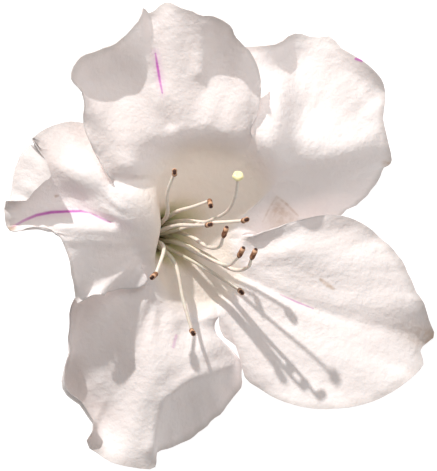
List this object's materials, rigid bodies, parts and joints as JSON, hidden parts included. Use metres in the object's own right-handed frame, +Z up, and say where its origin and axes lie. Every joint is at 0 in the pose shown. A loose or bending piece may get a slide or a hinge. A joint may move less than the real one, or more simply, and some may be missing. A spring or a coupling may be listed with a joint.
{
  "type": "azalea flower",
  "caption": "Open azalea bloom, as cut: ruffled white petals joined in a funnel, with long curved stamens and a yellow-tipped style.",
  "frame": {"origin": "under the middle of the bloom's bounding box, on the surface it lies on", "axes": "+Z up from that surface, +Y toward the tip of the top petal, +X to the right when the mouth is seen from above"},
  "size_m": [0.0734, 0.0786, 0.0359],
  "materials": {
    "petal": "soft white, faintly warm, with thin veins",
    "funnel": "warm cream that turns green in the throat",
    "filament": "smooth cream",
    "anther": "dry brown",
    "style": "smooth cream",
    "stigma": "moist pale yellow",
    "ovary": "hairy pale green",
    "calyx": "matt green",
    "stalk": "matt green"
  },
  "bodies": {
    "root": {"corolla_tube": "funnel", "petal_upper_right": "petal", "petal_lower_right": "petal", "petal_bottom": "petal", "petal_left": "petal", "petal_top": "petal", "ovary": "ovary", "style": "style", "stigma": "stigma", "receptacle": "stalk", "calyx": "calyx", "pedicel": "stalk", "filament_01": "filament", "anther_01": "anther", "filament_02": "filament", "anther_02": "anther", "filament_03": "filament", "anther_03": "anther", "filament_04": "filament", "anther_04": "anther", "filament_05": "filament", "anther_05": "anther", "filament_06": "filament", "anther_06": "anther", "filament_07": "filament", "anther_07": "anther", "filament_08": "filament", "anther_08": "anther", "filament_09": "filament", "anther_09": "anther", "filament_10": "filament", "anther_10": "anther"}
  },
  "joints": []
}
